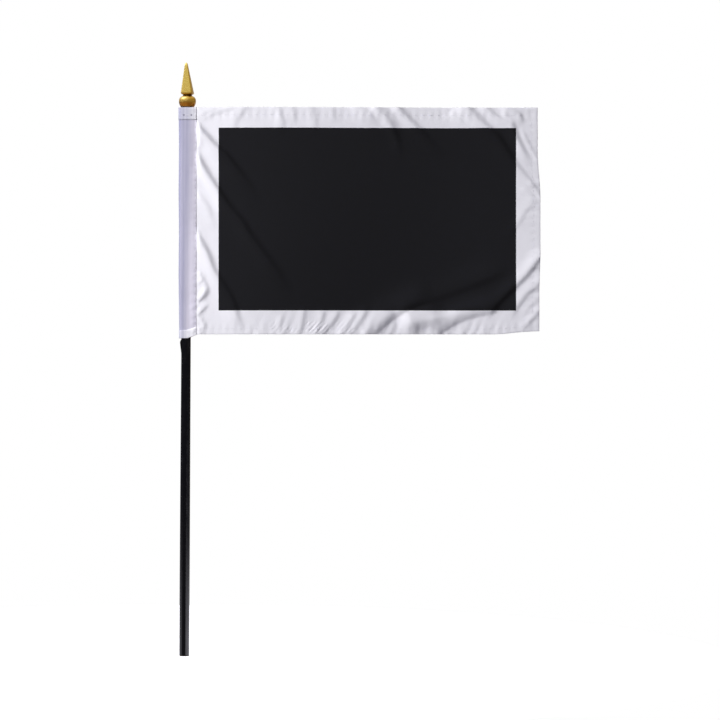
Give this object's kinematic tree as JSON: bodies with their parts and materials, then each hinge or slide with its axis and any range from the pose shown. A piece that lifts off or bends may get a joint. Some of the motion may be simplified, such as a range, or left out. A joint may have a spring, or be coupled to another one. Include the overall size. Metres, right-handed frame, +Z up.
{
  "type": "stick flag",
  "caption": "Small cloth flag sewn into a loose sleeve that turns on a slim black staff with a gold ball-and-spear finial; its foot plugs into a desk stand.",
  "frame": {"origin": "centre of the staff's lower end, where it goes into a stand", "axes": "+Z up the staff, +X out along the fly of the flag, -Y towards the front"},
  "size_m": [0.1621, 0.0076, 0.2667],
  "materials": {
    "staff_plastic": "gloss",
    "finial_gold": "polished",
    "flag_fabric": "satin",
    "sleeve_fabric": "satin",
    "sewing_thread": "satin"
  },
  "bodies": {
    "staff": {"staff": "staff_plastic", "finial": "finial_gold"},
    "flag": {"flag_cloth": "flag_fabric", "staff_sleeve": "sleeve_fabric", "sleeve_seam_thread": "sewing_thread", "top_hem_thread": "sewing_thread", "bottom_hem_thread": "sewing_thread", "fly_hem_thread": "sewing_thread"}
  },
  "joints": [
    {"name": "flag_turn", "type": "hinge", "parent": "staff", "child": "flag", "pos_m": [0, 0, 0.195], "axis": [0, 0, 1], "continuous": true}
  ]
}
